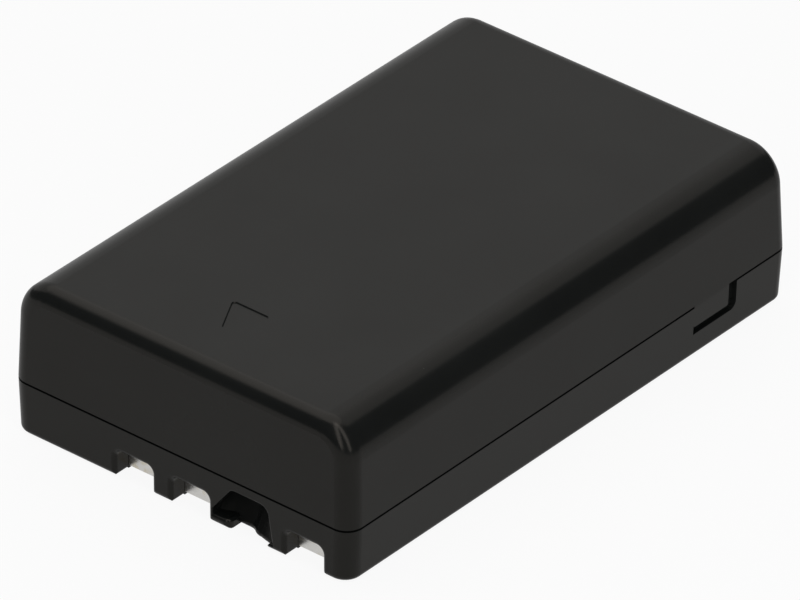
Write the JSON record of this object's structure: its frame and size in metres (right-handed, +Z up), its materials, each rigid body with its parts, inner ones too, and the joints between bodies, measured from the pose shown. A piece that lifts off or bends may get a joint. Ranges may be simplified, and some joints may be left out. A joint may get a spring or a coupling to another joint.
{
  "type": "camera battery",
  "caption": "Flat rechargeable pack with a two-piece black moulded case, slotted end contacts, a key pocket and sealed cells inside.",
  "frame": {"origin": "under the middle of the base, at the bottom centre of the pack's box", "axes": "+X across the pack towards the side with the locating tab, -Y towards the contact end, +Z up out of the marked broad face"},
  "size_m": [0.036, 0.056, 0.0144],
  "materials": {
    "case_plastic": "fine satin moulded black",
    "contact_plating": "pale bright plating",
    "holder_plastic": "natural moulded plastic",
    "board_laminate": "green lacquered laminate",
    "cell_can": "drawn bare can",
    "nickel_strip": "rolled nickel",
    "insulating_card": "calendered sheet",
    "adhesive_tape": "matt film",
    "foam_pad": "closed-cell foam",
    "chip_resin": "matt moulded resin",
    "chip_body": "fired body with plated ends",
    "cutoff_shell": "flat lacquered shell"
  },
  "bodies": {
    "root": {"upper_case": "case_plastic", "lower_case": "case_plastic", "contact_positive": "contact_plating", "contact_signal": "contact_plating", "contact_negative": "contact_plating", "contact_holder": "holder_plastic", "circuit_board": "board_laminate", "upper_cell": "cell_can", "lower_cell": "cell_can", "terminal_card": "insulating_card", "base_tape": "adhesive_tape", "cell_tape": "adhesive_tape", "top_foam": "foam_pad", "strap_positive": "nickel_strip", "strap_link": "nickel_strip", "strap_negative": "nickel_strip", "strap_cutoff": "nickel_strip", "thermal_cutoff": "cutoff_shell", "protection_chip": "chip_resin", "switch_transistors": "chip_resin", "thermistor": "chip_body", "board_resistors": "chip_resin", "board_capacitors": "chip_body"}
  },
  "joints": []
}
